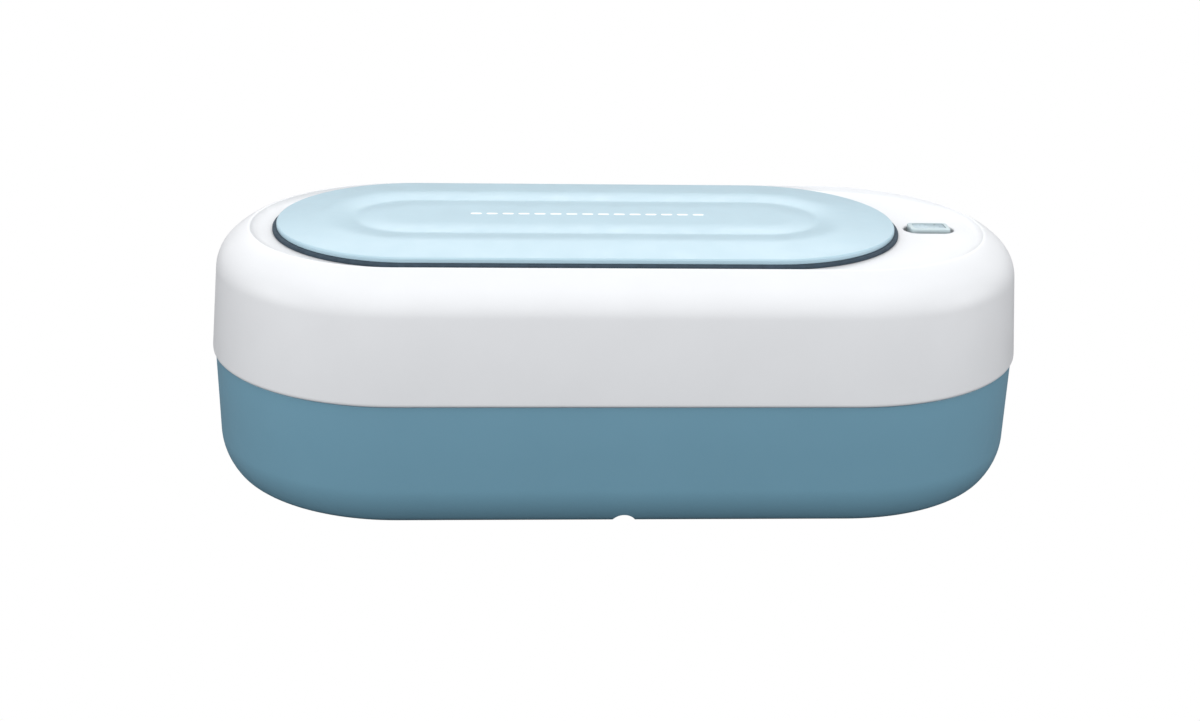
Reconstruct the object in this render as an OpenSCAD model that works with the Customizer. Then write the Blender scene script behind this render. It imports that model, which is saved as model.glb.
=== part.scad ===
// Ultrasonic cleaner for jewellery, with a lift-off lid and one push button. All sizes are in millimetres.
// The origin is the centre of the footprint on the table.
// +X points to the button, -Y to the front and +Z up.
// The casings, the tank and the lid are stadiums: a half-section swept round a straight spine.

/* [Casing] */
// Overall length along X
body_length = 235; // [228:1:245]
// Overall depth along Y
body_depth = 110; // [109:0.5:114]
// Overall height, from the table to the top of the lid
body_height = 75; // [74:0.5:78]
// Height of the joint between the base shell and the top housing
split_height = 36.8; // [35:0.2:39]
// Wall thickness of both casings
wall = 2.4; // [2:0.1:2.8]
// How far the top housing stands proud of the base shell at the joint
joint_step = 0.8; // [0.4:0.1:1.2]
// Height of the base shell's lowest edge above the table
foot_gap = 0.8; // [0.5:0.1:1.2]
// Radius of the arched notch in the front bottom edge
notch_radius = 3.2; // [2:0.1:3.4]

/* [Lid] */
// Distance from the lid's spine to its outer edge
lid_radius = 38.9; // [38.6:0.1:39.2]
// Half the straight length of the lid's spine
lid_spine = 50; // [46:0.5:50]
// Where the middle of the lid sits along X
lid_offset = -9.2; // [-10:0.1:-8]
// Thickness of the lid's plate under the groove
lid_plate = 1.8; // [1.4:0.1:1.8]
// Height of the seal between the lid's edge and the deck
seal_gap = 1.1; // [1:0.1:1.2]

/* [Tank] */
// Inner radius of the tank at its mouth
tank_radius = 33.2; // [32.8:0.1:33.4]
// Inside depth of the tank
tank_depth = 47.8; // [40:0.2:48]
// Sheet thickness of the tank
tank_sheet = 0.8; // [0.6:0.1:0.9]
// Diameter of the piezo disc
piezo_diameter = 40; // [30:1:42]

/* [Button] */
// Middle of the button along X
button_x = 90.7; // [90.2:0.1:92]
// Length of the button's cap along X
cap_length = 11.8; // [10:0.1:12]
// Width of the button's cap along Y
cap_width = 7; // [6:0.1:7.2]
// How far the button travels
button_travel = 1.2; // [0.8:0.1:1.4]

/* [Fasteners] */
// Diameter of the four casing screws
casing_screw = 3; // [2.9:0.1:3.1]
// Diameter of the small board screws
board_screw = 2.5; // [2.2:0.1:2.5]

/* [Hidden] */

$fn = 96;
arc_steps = 6;
// Overlap that joins features of one solid, and how far a cut runs past a face
bite = 0.4;
past = 1;
slip = 0.05;

// Casing sections
body_spine = (body_length - body_depth) / 2;
split_radius = body_depth / 2;
top_draft = 2;
edge_radius = 0.7;
shoulder_radius = 11.7;
shoulder_turn = 48;
crown_radius = 23.6;
crest_inset = 11.7;
crest_radius = split_radius - crest_inset;
crest_z = body_height - 2.3;
deck_z = body_height - 3.7;
dish_width = 2.9;
dish_fall = crest_z - deck_z;
dish_radius = (dish_width * dish_width + dish_fall * dish_fall) / (2 * dish_fall);
dish_start = -acos(dish_width / dish_radius);
deck_plate = 2.4;
deck_under = deck_z - deck_plate;
shoulder_x = split_radius - top_draft - shoulder_radius;
crown_x = shoulder_x - (crown_radius - shoulder_radius) * cos(shoulder_turn);
crest_angle = acos((crest_radius - crown_x) / crown_radius);
crown_z = crest_z - crown_radius * sin(crest_angle);
shoulder_z = crown_z + (crown_radius - shoulder_radius) * sin(shoulder_turn);
inner_crown_angle = asin((deck_under - crown_z) / (crown_radius - wall));

base_top_radius = split_radius - joint_step;
base_low_radius = base_top_radius - 0.5;
bilge_radius = 17;
bilge_turn = 35;
heel_radius = 6;
bilge_x = base_low_radius - bilge_radius;
heel_x = bilge_x + (bilge_radius - heel_radius) * cos(bilge_turn);
heel_z = foot_gap + heel_radius;
bilge_z = heel_z + (bilge_radius - heel_radius) * sin(bilge_turn);
rim_radius = 42;
rim_chamfer = 0.8;
recess_z = foot_gap + 1.6;
floor_z = recess_z + wall;
inner_bilge_angle = asin((bilge_z - floor_z) / (bilge_radius - wall));

// Tongue on the base shell that lines the two casings up
tongue_outer = base_top_radius - 2.1;
tongue_inner = tongue_outer - 1.3;
tongue_height = 3;
tongue_root = 2;
tongue_chamfer = 1.6;

// Tank seat in the deck
flange_width = 3;
flange_radius = tank_radius + tank_sheet + flange_width;
flange_bend = 0.7;
gasket_height = 0.6;
gasket_margin = 0.2;
seat_z = deck_z - tank_sheet - gasket_height;
seat_radius = flange_radius + 0.4;
throat_radius = tank_radius + tank_sheet + 0.8;
collar_radius = seat_radius + 0.3;
collar_z = seat_z - 2.6;
tank_taper = 0.8;
tank_corner = 10;
tank_floor = deck_z - tank_depth;

// Lid section: a flat field, a shallow groove, a raised ring and a straight slope down to the edge
lid_bottom = deck_z + seal_gap;
lid_edge_radius = 0.6;
lid_slope = 5;
ring_radius = 24;
ring_round = 29;
slope_start = ring_radius + ring_round * sin(lid_slope);
slope_end = lid_radius - lid_edge_radius * (1 - sin(lid_slope));
slope_fall = (slope_end - slope_start) * tan(lid_slope);
lid_edge_top = body_height - ring_round * (1 - cos(lid_slope)) - slope_fall;
lid_edge_z = lid_edge_top - lid_edge_radius * cos(lid_slope);
groove_radius = 16.8;
groove_flat = 1.3;
groove_depth = 0.55;
field_radius = 8;
lid_groove_z = body_height - groove_depth;
lid_under = lid_groove_z - lid_plate;
skirt_outer = tank_radius - 1;
skirt_wall = 1.6;
skirt_height = 6.4;
rim_inner = lid_radius - 2.3;
seal_outer = lid_radius + 1.2;
seal_inner = lid_radius - 1.7;

// Casing screws and their posts
post_x = 74;
post_y = 36;
post_top = split_height - 1.4;
base_post_diameter = 9;
top_post_diameter = 8;
post_rib = 1.6;
rib_reach = 12;
screw_seat_z = 24;
screw_grip = 20;
screw_head_diameter = casing_screw * 1.9;
screw_head_height = casing_screw * 0.7;
counterbore = screw_head_diameter + 0.8;
clearance_hole = casing_screw + 0.4;
pilot_hole = casing_screw + 0.1;
pilot_end = screw_seat_z + screw_grip + 1;

// Rubber feet
foot_x = 84;
foot_y = 19;
foot_diameter = 12;
foot_pocket = 0.6;
foot_round = 1;

// Driver board and what stands on it
board_left = 20;
board_right = 98;
board_half_width = 27;
board_thickness = 1.6;
board_under = floor_z + 3.2;
board_top = board_under + board_thickness;
board_hole_inset = 4;
board_hole = board_screw + 0.5;
board_pilot = board_screw + 0.1;
standoff_diameter = 6.4;
board_screw_length = 5.6;
board_head_diameter = board_screw * 1.9;
board_head_height = board_screw * 0.65;
header_size = [5, 7.5, 6];
header_wall = 0.8;
transducer_header = [25, 8];
power_header = [58, 20];
switch_header = [94, -14];
transformer_x = 84;
core_size = [19, 8, 18];
core_limb = 4;
coil_size = [9.6, 16, 9.6];
coil_gap = 0.1;
bulk_x = 80;
bulk_y = 21;
bulk_diameter = 10;
bulk_height = 16;
film_size = [13, 6, 11];
film_x = 40;
film_y = 17;
transistor_x = 56;
transistor_rows = [-14, -1];
transistor_size = [9, 10, 4.4];
transistor_tab = [6, 10, 1.3];
tab_hole = 3.6;
sink_size = [18, 26, 6.6];
sink_base = 1.6;
sink_fins = 6;
fin_thickness = 1;
chip_x = 36;
chip_y = -14;
chip_size = [10, 7.5, 2.2];
chip_pins = 8;
pin_pitch = 1.1;
pin_size = [0.45, 1.6, 0.9];

// Transducer
plate_diameter = piezo_diameter + 6;
plate_thickness = 2;
piezo_thickness = 3;
plate_chamfer = 0.6;
tank_under = tank_floor - tank_sheet;
plate_under = tank_under - plate_thickness;
piezo_under = plate_under - piezo_thickness;

// Power inlet in the rear wall
socket_x = 58;
socket_z = 22;
socket_face = split_radius - 2;
socket_flange = 12;
socket_flange_height = 1.6;
socket_diameter = 8;
socket_length = 12;
socket_bore = 5.6;
socket_bore_depth = 10;
socket_pin = 2;
pocket_diameter = 15;
inlet_boss_diameter = 18;
inlet_boss_face = socket_face - 2.6;
nut_width = 12;
nut_height = 2.4;
tab_size = [1.2, 3.4, 2.6];
tab_spread = 1.8;

// Button, its well and the switch below it
well_length = 14.6;
well_width = 8.2;
well_z = deck_z - 1.4;
well_pad = [21, 14];
well_pad_under = well_z - 2.4;
cap_corner = 2.4;
cap_clearance = 0.25;
cap_top = deck_z + 1;
cap_edge = 0.5;
cap_stop = well_pad_under - 0.2;
cap_flange = 1;
cap_flange_margin = 1.1;
stem_diameter = 3.4;
plunger_top = deck_z - 7.1;
plunger_width = 3;
plunger_foot = [4, 4, 0.8];
switch_size = [7.4, 7.4];
switch_top = deck_z - 10.5;
switch_bottom = switch_top - 5.8;
switch_cavity = 4.4;
switch_floor = 0.8;
switch_roof = 0.8;
spring_wire = 0.3;
spring_radius = 1.2;
spring_turns = 5;
plunger_foot_z = switch_bottom + switch_floor + (spring_turns + 1) * spring_wire + button_travel;
switch_board_size = [17, 36];
switch_post_y = 13;
switch_post_diameter = 5.6;
switch_post_pilot = 6.4;
led_offset = -6;
led_diameter = 3;
led_height = 4.4;
led_rim = 0.6;

// Wiring
wire_radius = 0.7;
wire_touch = 0.06;
wire_steps = 12;
header_low = board_top + header_wall + wire_touch;
header_mouth = board_top + header_size[2] + 0.4;

// Points along an arc, from its centre, radius, and start and end angles
function arc_points(cx, cz, radius, from, to, steps = arc_steps) =
    [for (i = [0:steps])
        let (a = from + (to - from) * i / steps)
        [cx + radius * cos(a), cz + radius * sin(a)]];

// Sweeps the half-section given as a child round a stadium whose spine runs along X
module stadium_sweep(half_spine) {
    for (side = [-1, 1])
        translate([side * half_spine, 0, 0])
            rotate([0, 0, -90 * side])
                rotate_extrude(angle = 180)
                    children();
    for (side = [0, 1])
        mirror([0, side, 0])
            translate([-half_spine, 0, 0])
                rotate([90, 0, 90])
                    linear_extrude(2 * half_spine)
                        children();
}

// A solid stadium block of constant section
module stadium_block(half_spine, radius, from_z, to_z) {
    translate([0, 0, from_z]) {
        translate([-half_spine, -radius, 0]) cube([2 * half_spine, 2 * radius, to_z - from_z]);
        for (side = [-1, 1])
            translate([side * half_spine, 0, 0]) cylinder(r = radius, h = to_z - from_z);
    }
}

// A rectangle in plan with round corners, standing on z = 0
module rounded_block(length, width, height, corner) {
    linear_extrude(height) {
        square([length - 2 * corner, width], center = true);
        square([length, width - 2 * corner], center = true);
        for (sx = [-1, 1], sy = [-1, 1])
            translate([sx * (length / 2 - corner), sy * (width / 2 - corner)]) circle(r = corner, $fn = 32);
    }
}

// A block centred on X and Y that stands on z = 0
module standing_block(size) {
    translate([-size[0] / 2, -size[1] / 2, 0]) cube(size);
}

// Puts a child at each of the four corners of a rectangle
module at_corners(x, y) {
    for (sx = [-1, 1], sy = [-1, 1])
        translate([sx * x, sy * y, 0]) children();
}

// Puts a child at each of the driver board's four holes
module at_board_holes() {
    for (x = [board_left + board_hole_inset, board_right - board_hole_inset], sy = [-1, 1])
        translate([x, sy * (board_half_width - board_hole_inset), 0]) children();
}

// A pan-head screw with a cross recess. The shank runs up from z = 0 and the head hangs below.
module pan_screw(shank, head, head_height, grip) {
    slot = head * 0.14;
    difference() {
        union() {
            translate([0, 0, -head_height]) cylinder(d1 = head * 0.8, d2 = head, h = head_height * 0.4);
            translate([0, 0, -head_height * 0.6]) cylinder(d = head, h = head_height * 0.6);
            cylinder(d = shank, h = grip - shank / 2);
            translate([0, 0, grip - shank / 2]) cylinder(d1 = shank, d2 = shank * 0.3, h = shank / 2);
        }
        for (turn = [0, 90])
            rotate([0, 0, turn])
                translate([-head * 0.32, -slot / 2, -head_height - past])
                    cube([head * 0.64, slot, past + head_height * 0.6]);
    }
}

// A closed tube of flat-sided rings along a path. The path never points along the direction `across`.
module tube(path, radius, across, sides = 8) {
    last = len(path) - 1;
    rings = [
        for (i = [0:last])
            let (
                step = path[min(i + 1, last)] - path[max(i - 1, 0)],
                along = step / norm(step),
                side = cross(along, across) / norm(cross(along, across)),
                up = cross(side, along)
            )
            for (k = [0:sides - 1])
                path[i] + radius * (cos(360 * k / sides) * side + sin(360 * k / sides) * up)
    ];
    walls = [
        for (i = [0:last - 1], k = [0:sides - 1])
            let (a = i * sides + k, b = i * sides + (k + 1) % sides)
            [a, b, b + sides, a + sides]
    ];
    start_cap = [for (k = [sides - 1:-1:0]) k];
    end_cap = [for (k = [0:sides - 1]) last * sides + k];
    polyhedron(points = rings, faces = concat([start_cap], walls, [end_cap]));
}

// Points on a smooth bend that leaves a along its first handle and reaches b along its second
function bend_points(a, a_handle, b, b_handle, steps = wire_steps) = [
    for (i = [0:steps])
        let (t = i / steps, s = 1 - t)
        s * s * s * a + 3 * s * s * t * (a + a_handle) + 3 * s * t * t * (b + b_handle) + t * t * t * b
];

// Half-section of the white upper casing
module top_housing_section() {
    inner_low = split_radius - wall;
    polygon(concat(
        [[inner_low, split_height]],
        arc_points(split_radius - edge_radius, split_height + edge_radius, edge_radius, -90, 0),
        arc_points(shoulder_x, shoulder_z, shoulder_radius, 0, shoulder_turn),
        arc_points(crown_x, crown_z, crown_radius, shoulder_turn, crest_angle),
        arc_points(crest_radius - dish_width, deck_z + dish_radius, dish_radius, dish_start, -90),
        [[0, deck_z], [0, deck_under]],
        arc_points(crown_x, crown_z, crown_radius - wall, inner_crown_angle, shoulder_turn),
        arc_points(shoulder_x, shoulder_z, shoulder_radius - wall, shoulder_turn, 0)
    ));
}

// Round post that hangs from the deck and takes a casing screw
module top_post() {
    translate([0, 0, post_top]) cylinder(d = top_post_diameter, h = deck_under + bite - post_top);
}

module top_housing() {
    color("white")
    difference() {
        union() {
            stadium_sweep(body_spine) top_housing_section();
            translate([lid_offset, 0, 0])
                stadium_block(lid_spine, collar_radius, collar_z, deck_under + bite);
            at_corners(post_x, post_y) top_post();
            translate([button_x, 0, well_pad_under])
                standing_block([well_pad[0], well_pad[1], deck_under + bite - well_pad_under]);
            for (side = [-1, 1])
                translate([button_x, side * switch_post_y, switch_bottom])
                    cylinder(d = switch_post_diameter, h = deck_under + bite - switch_bottom);
        }
        translate([lid_offset, 0, 0]) {
            stadium_block(lid_spine, seat_radius, seat_z, deck_z + past);
            stadium_block(lid_spine, throat_radius, collar_z - past, deck_z);
        }
        at_corners(post_x, post_y)
            translate([0, 0, post_top - past]) cylinder(d = pilot_hole, h = pilot_end - post_top + past);
        for (side = [-1, 1])
            translate([button_x, side * switch_post_y, switch_bottom - past])
                cylinder(d = board_pilot, h = switch_post_pilot + past);
        translate([button_x, 0, well_z])
            stadium_block((well_length - well_width) / 2, well_width / 2, 0, deck_z + past - well_z);
        translate([button_x, 0, well_pad_under - past])
            rounded_block(cap_length + 2 * cap_clearance, cap_width + 2 * cap_clearance,
                well_z + 2 * past - well_pad_under, cap_corner + cap_clearance);
    }
}

// Half-section of the blue lower casing
module base_section() {
    inner_top = base_top_radius - wall;
    polygon(concat(
        [[0, recess_z], [rim_radius, recess_z], [rim_radius + rim_chamfer, foot_gap]],
        arc_points(heel_x, heel_z, heel_radius, -90, -bilge_turn),
        arc_points(bilge_x, bilge_z, bilge_radius, -bilge_turn, 0),
        [
            [base_top_radius, split_height], [tongue_outer, split_height],
            [tongue_outer, split_height + tongue_height], [tongue_inner, split_height + tongue_height],
            [tongue_inner, split_height - tongue_root],
            [inner_top, split_height - tongue_root - tongue_chamfer]
        ],
        arc_points(bilge_x, bilge_z, bilge_radius - wall, 0, -inner_bilge_angle),
        [[0, floor_z]]
    ));
}

module base_shell() {
    color("steelblue")
    difference() {
        union() {
            stadium_sweep(body_spine) base_section();
            at_corners(post_x, post_y)
                translate([0, 0, floor_z - bite])
                    cylinder(d = base_post_diameter, h = post_top - floor_z + bite);
            for (sx = [-1, 1], sy = [-1, 1])
                translate([sx * post_x, sy * post_y, floor_z - bite])
                    rotate([0, 0, atan2(sy * post_y, sx * (post_x - body_spine))])
                        translate([base_post_diameter / 2 - bite, -post_rib / 2, 0])
                            cube([
                                rib_reach - base_post_diameter / 2 + bite, post_rib, screw_seat_z - floor_z
                            ]);
            at_board_holes()
                translate([0, 0, floor_z - bite])
                    cylinder(d = standoff_diameter, h = board_under - floor_z + bite);
            translate([socket_x, inlet_boss_face, socket_z])
                rotate([-90, 0, 0]) cylinder(d = inlet_boss_diameter, h = socket_face - inlet_boss_face);
        }
        at_corners(post_x, post_y) {
            translate([0, 0, -past]) cylinder(d = counterbore, h = screw_seat_z + past);
            cylinder(d = clearance_hole, h = post_top + past);
        }
        at_corners(foot_x, foot_y)
            translate([0, 0, -past])
                cylinder(d = foot_diameter + 2 * slip, h = recess_z + foot_pocket + past);
        at_board_holes()
            translate([0, 0, recess_z + wall / 2])
                cylinder(d = board_pilot, h = board_under + past - recess_z - wall / 2);
        translate([socket_x, socket_face, socket_z])
            rotate([-90, 0, 0]) cylinder(d = pocket_diameter, h = split_radius + past - socket_face);
        translate([socket_x, inlet_boss_face - past, socket_z])
            rotate([-90, 0, 0])
                cylinder(d = socket_diameter + 2 * slip, h = split_radius + 2 * past - inlet_boss_face);
        translate([0, -split_radius - past, foot_gap / 2])
            rotate([-90, 0, 0]) cylinder(r = notch_radius, h = split_radius + 2 * past - rim_radius);
    }
}

// Half-section of the lid, from its raised field out to the rim and back along the underside
module lid_section() {
    polygon(concat(
        [
            [0, lid_under], [0, body_height], [field_radius, body_height],
            [groove_radius - groove_flat, lid_groove_z], [groove_radius + groove_flat, lid_groove_z]
        ],
        arc_points(ring_radius, body_height - ring_round, ring_round, 90, 90 - lid_slope),
        arc_points(lid_radius - lid_edge_radius, lid_edge_z, lid_edge_radius, 90 - lid_slope, 0),
        [
            [lid_radius, lid_bottom], [rim_inner, lid_bottom], [rim_inner, lid_under], [skirt_outer, lid_under],
            [skirt_outer, lid_under - skirt_height], [skirt_outer - skirt_wall, lid_under - skirt_height],
            [skirt_outer - skirt_wall, lid_under]
        ]
    ));
}

module lid_cover() {
    color("lightblue")
    translate([lid_offset, 0, 0]) stadium_sweep(lid_spine) lid_section();
}

// Flat ring under the lid's rim. It stands out a little past the rim and rests on the deck.
module lid_seal() {
    color("darkslategray")
    translate([lid_offset, 0, deck_z])
        stadium_sweep(lid_spine)
            translate([seal_inner, 0]) square([seal_outer - seal_inner, seal_gap]);
}

// Half-section of the drawn tank: floor, round corner, tapered wall, bend and flange
module tank_section() {
    corner_x = tank_radius - tank_taper - tank_corner;
    corner_z = tank_floor + tank_corner;
    bend_outer = flange_bend + tank_sheet;
    bend_x = tank_radius + bend_outer;
    bend_z = deck_z - bend_outer;
    polygon(concat(
        [[0, tank_floor]],
        arc_points(corner_x, corner_z, tank_corner, -90, 0),
        arc_points(bend_x, bend_z, bend_outer, 180, 90),
        [[flange_radius, deck_z], [flange_radius, deck_z - tank_sheet]],
        arc_points(bend_x, bend_z, flange_bend, 90, 180),
        arc_points(corner_x, corner_z, tank_corner + tank_sheet, 0, -90),
        [[0, tank_floor - tank_sheet]]
    ));
}

module tank() {
    color("silver")
    translate([lid_offset, 0, 0]) stadium_sweep(lid_spine) tank_section();
}

module tank_gasket() {
    color("dimgray")
    translate([lid_offset, 0, seat_z])
        stadium_sweep(lid_spine)
            translate([throat_radius + gasket_margin, 0])
                square([flange_radius - throat_radius - 2 * gasket_margin, gasket_height]);
}

module coupling_plate() {
    color("gainsboro")
    translate([lid_offset, 0, plate_under]) {
        cylinder(d1 = plate_diameter - 2 * plate_chamfer, d2 = plate_diameter, h = plate_chamfer);
        translate([0, 0, plate_chamfer]) cylinder(d = plate_diameter, h = plate_thickness - plate_chamfer);
    }
}

module piezo_disc() {
    color("beige")
    translate([lid_offset, 0, piezo_under])
        difference() {
            cylinder(d = piezo_diameter, h = piezo_thickness);
            translate([piezo_diameter * 0.4, -piezo_diameter * 0.1, -past])
                cube([piezo_diameter, piezo_diameter * 0.2, past + piezo_thickness * 0.1]);
        }
}

module button_cap() {
    color("powderblue")
    translate([button_x, 0, 0]) {
        translate([0, 0, cap_stop - bite])
            rounded_block(cap_length, cap_width, cap_top - cap_edge - cap_stop + bite, cap_corner);
        translate([0, 0, cap_top - cap_edge])
            rounded_block(cap_length - cap_edge, cap_width - cap_edge, cap_edge, cap_corner - cap_edge / 2);
        translate([0, 0, cap_stop - cap_flange])
            rounded_block(
                cap_length + 2 * cap_flange_margin, cap_width + 2 * cap_flange_margin, cap_flange, cap_corner
            );
        translate([0, 0, plunger_top])
            cylinder(d = stem_diameter, h = cap_stop - cap_flange / 2 - plunger_top);
    }
}

module switch_plunger() {
    color("black")
    translate([button_x, 0, plunger_foot_z]) {
        standing_block(plunger_foot);
        standing_block([plunger_width, plunger_width, plunger_top - plunger_foot_z]);
    }
}

// A coil that climbs from the switch's floor to the plunger's foot
module plunger_spring() {
    sides = 16;
    low = switch_bottom + switch_floor + spring_wire / 2;
    high = plunger_foot_z - spring_wire / 2;
    coil = [
        for (i = [0:sides * spring_turns])
            let (a = i * 360 / sides, climb = (high - low) * i / (sides * spring_turns))
            [spring_radius * cos(a), spring_radius * sin(a), low + climb]
    ];
    color("lightgray")
    translate([button_x, 0, 0]) tube(coil, spring_wire / 2, [0, 0, 1], 6);
}

module switch_body() {
    inside = switch_top - switch_bottom - switch_floor - switch_roof;
    color("dimgray")
    translate([button_x, 0, switch_bottom])
        difference() {
            rounded_block(switch_size[0], switch_size[1], switch_top - switch_bottom, 0.6);
            translate([0, 0, switch_floor]) standing_block([switch_cavity, switch_cavity, inside]);
            translate([0, 0, switch_floor])
                standing_block([plunger_width + 4 * slip, plunger_width + 4 * slip, switch_top]);
        }
}

module switch_board() {
    color("darkgreen")
    translate([button_x, 0, switch_bottom - board_thickness])
        difference() {
            rounded_block(switch_board_size[0], switch_board_size[1], board_thickness, 1.5);
            for (side = [-1, 1])
                translate([0, side * switch_post_y, -past])
                    cylinder(d = board_hole, h = board_thickness + 2 * past);
        }
}

module switch_screws() {
    color("silver")
    for (side = [-1, 1])
        translate([button_x, side * switch_post_y, switch_bottom - board_thickness])
            pan_screw(
                board_screw, board_head_diameter, board_head_height, board_screw_length + board_thickness
            );
}

module indicator_led() {
    color("lightcyan")
    translate([button_x + led_offset, 0, switch_bottom]) {
        cylinder(d = led_diameter + 2 * led_rim, h = 1);
        cylinder(d = led_diameter, h = led_height - led_diameter / 2);
        translate([0, 0, led_height - led_diameter / 2]) sphere(d = led_diameter, $fn = 32);
    }
}

module driver_board() {
    length = board_right - board_left;
    color("darkgreen")
    difference() {
        translate([board_left + length / 2, 0, board_under])
            rounded_block(length, 2 * board_half_width, board_thickness, 2);
        at_board_holes()
            translate([0, 0, board_under - past]) cylinder(d = board_hole, h = board_thickness + 2 * past);
    }
}

module board_screws() {
    color("silver")
    at_board_holes()
        translate([0, 0, board_top])
            mirror([0, 0, 1])
                pan_screw(board_screw, board_head_diameter, board_head_height, board_screw_length);
}

// Three-limb ferrite core, standing on its lower yoke
module transformer_core() {
    window = [(core_size[0] - 4 * core_limb) / 2 + core_limb / 2, core_size[2] - 2 * core_limb];
    color("darkslategray")
    translate([transformer_x, 0, board_top])
        difference() {
            standing_block(core_size);
            for (side = [-1, 1])
                translate([side * (core_limb / 2 + window[0] / 2), 0, core_limb])
                    standing_block([window[0], core_size[1] + 2 * past, window[1]]);
        }
}

// Winding round the core's middle limb
module transformer_winding() {
    opening = [core_limb + 2 * coil_gap, core_size[1] + 2 * coil_gap];
    color("peru")
    translate([transformer_x, 0, board_top + core_size[2] / 2 - coil_size[2] / 2])
        difference() {
            rounded_block(coil_size[0] - 2 * coil_gap, coil_size[1], coil_size[2], 1.5);
            translate([0, 0, -past]) standing_block([opening[0], opening[1], coil_size[2] + 2 * past]);
        }
}

module bulk_capacitors() {
    rim = 0.5;
    color("navy")
    for (side = [-1, 1])
        translate([bulk_x, side * bulk_y, board_top])
            difference() {
                union() {
                    cylinder(d = bulk_diameter, h = bulk_height - rim);
                    translate([0, 0, bulk_height - rim])
                        cylinder(d1 = bulk_diameter, d2 = bulk_diameter - 2 * rim, h = rim);
                }
                translate([0, 0, bulk_height - rim / 2]) cylinder(d = bulk_diameter - 4 * rim, h = past);
                translate([0, 0, bulk_height / 8])
                    rotate_extrude() translate([bulk_diameter / 2, 0]) circle(r = rim, $fn = 24);
            }
}

module film_capacitors() {
    color("firebrick")
    for (side = [0, 1])
        translate([film_x, film_y - side * (film_size[1] + 2), board_top])
            rounded_block(film_size[0], film_size[1], film_size[2], 1.2);
}

module power_transistors() {
    color("black")
    for (y = transistor_rows)
        translate([transistor_x, y, board_top])
            difference() {
                union() {
                    standing_block(transistor_size);
                    translate([transistor_size[0] / 2 + transistor_tab[0] / 2 - bite, 0, 0])
                        standing_block(transistor_tab);
                }
                translate([transistor_size[0] / 2 + transistor_tab[0] / 2, 0, -past])
                    cylinder(d = tab_hole, h = transistor_tab[2] + 2 * past);
            }
}

// Finned block that lies on both transistors
module heat_sink() {
    pitch = (sink_size[1] - fin_thickness) / (sink_fins - 1);
    middle = (transistor_rows[0] + transistor_rows[1]) / 2;
    color("silver")
    translate([transistor_x, middle, board_top + transistor_size[2]]) {
        standing_block([sink_size[0], sink_size[1], sink_base]);
        for (i = [0:sink_fins - 1])
            translate([0, i * pitch - (sink_size[1] - fin_thickness) / 2, 0])
                standing_block([sink_size[0], fin_thickness, sink_size[2]]);
    }
}

// Controller with a row of pins down each long side
module control_chip() {
    color("black")
    translate([chip_x, chip_y, board_top]) {
        translate([0, 0, pin_size[2] / 2]) standing_block(chip_size - [0, 0, pin_size[2] / 2]);
        for (side = [-1, 1], i = [0:chip_pins - 1])
            translate([
                (i - (chip_pins - 1) / 2) * pin_pitch, side * (chip_size[1] + pin_size[1] - bite) / 2, 0
            ])
                standing_block(pin_size);
    }
}

// Open-topped sockets for the three sets of wires
module board_headers() {
    color("ivory")
    for (place = [transducer_header, power_header, switch_header])
        translate([place[0], place[1], board_top])
            difference() {
                standing_block(header_size);
                translate([0, 0, header_wall])
                    standing_block(header_size - [2 * header_wall, 2 * header_wall, 0]);
            }
}

// Barrel inlet: flange, threaded barrel, bore with a centre pin, and two tabs behind
module power_socket() {
    color("black")
    translate([socket_x, socket_face, socket_z])
        rotate([90, 0, 0]) {
            difference() {
                union() {
                    translate([0, 0, -socket_flange_height])
                        cylinder(d = socket_flange, h = socket_flange_height);
                    cylinder(d = socket_diameter, h = socket_length);
                }
                translate([0, 0, -socket_flange_height - past])
                    cylinder(d = socket_bore, h = socket_bore_depth + past);
            }
            translate([0, 0, -socket_flange_height / 2])
                cylinder(d = socket_pin, h = socket_bore_depth);
            for (side = [-1, 1])
                translate([side * tab_spread, 0, socket_length - bite])
                    standing_block([tab_size[0], tab_size[1], tab_size[2] + bite]);
        }
}

module socket_nut() {
    color("silver")
    translate([socket_x, inlet_boss_face, socket_z])
        rotate([90, 0, 0])
            difference() {
                cylinder(d = nut_width, h = nut_height, $fn = 6);
                translate([0, 0, -past])
                    cylinder(d = socket_diameter + 2 * slip, h = nut_height + 2 * past);
            }
}

// Two wires from the inlet's tabs, over the board, down into their header
module power_leads() {
    tab_end = socket_face - socket_length - tab_size[2] - wire_touch;
    color("crimson")
    for (side = [-1, 1]) {
        tab = [socket_x + side * tab_spread, tab_end, socket_z];
        mouth = [power_header[0] + side, power_header[1] + side, header_mouth];
        tube(concat(bend_points(tab, [0, -8, 0], mouth, [0, 0, 5]), [[mouth[0], mouth[1], header_low]]),
            wire_radius, [1, 0, 0]);
    }
}

// Two wires from their header to the underside of the piezo disc
module transducer_leads() {
    color("orangered")
    for (side = [-1, 1]) {
        mouth = [transducer_header[0], transducer_header[1] + side * 1.6, header_mouth];
        disc = [lid_offset + piezo_diameter * 0.3, side * 4, piezo_under - wire_touch];
        joint = disc - [0, 0, wire_radius];
        way = bend_points(mouth, [0, 0, 2.5], joint, [0, 0, -4]);
        tube(concat([[mouth[0], mouth[1], header_low]], way, [disc]), wire_radius, [0, 1, 0]);
    }
}

// Three wires from the switch board down into their header
module switch_cable() {
    color("lightgray")
    for (i = [-1:1]) {
        top = [button_x + 6, i * 1.7 - 6, switch_bottom - board_thickness - wire_touch];
        mouth = [switch_header[0], switch_header[1] + i * 1.7, header_mouth];
        tube(concat(bend_points(top, [0, 0, -14], mouth, [0, 0, 14]), [[mouth[0], mouth[1], header_low]]),
            wire_radius, [0, 1, 0]);
    }
}

module housing_screws() {
    color("silver")
    at_corners(post_x, post_y)
        translate([0, 0, screw_seat_z])
            pan_screw(casing_screw, screw_head_diameter, screw_head_height, screw_grip);
}

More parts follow.
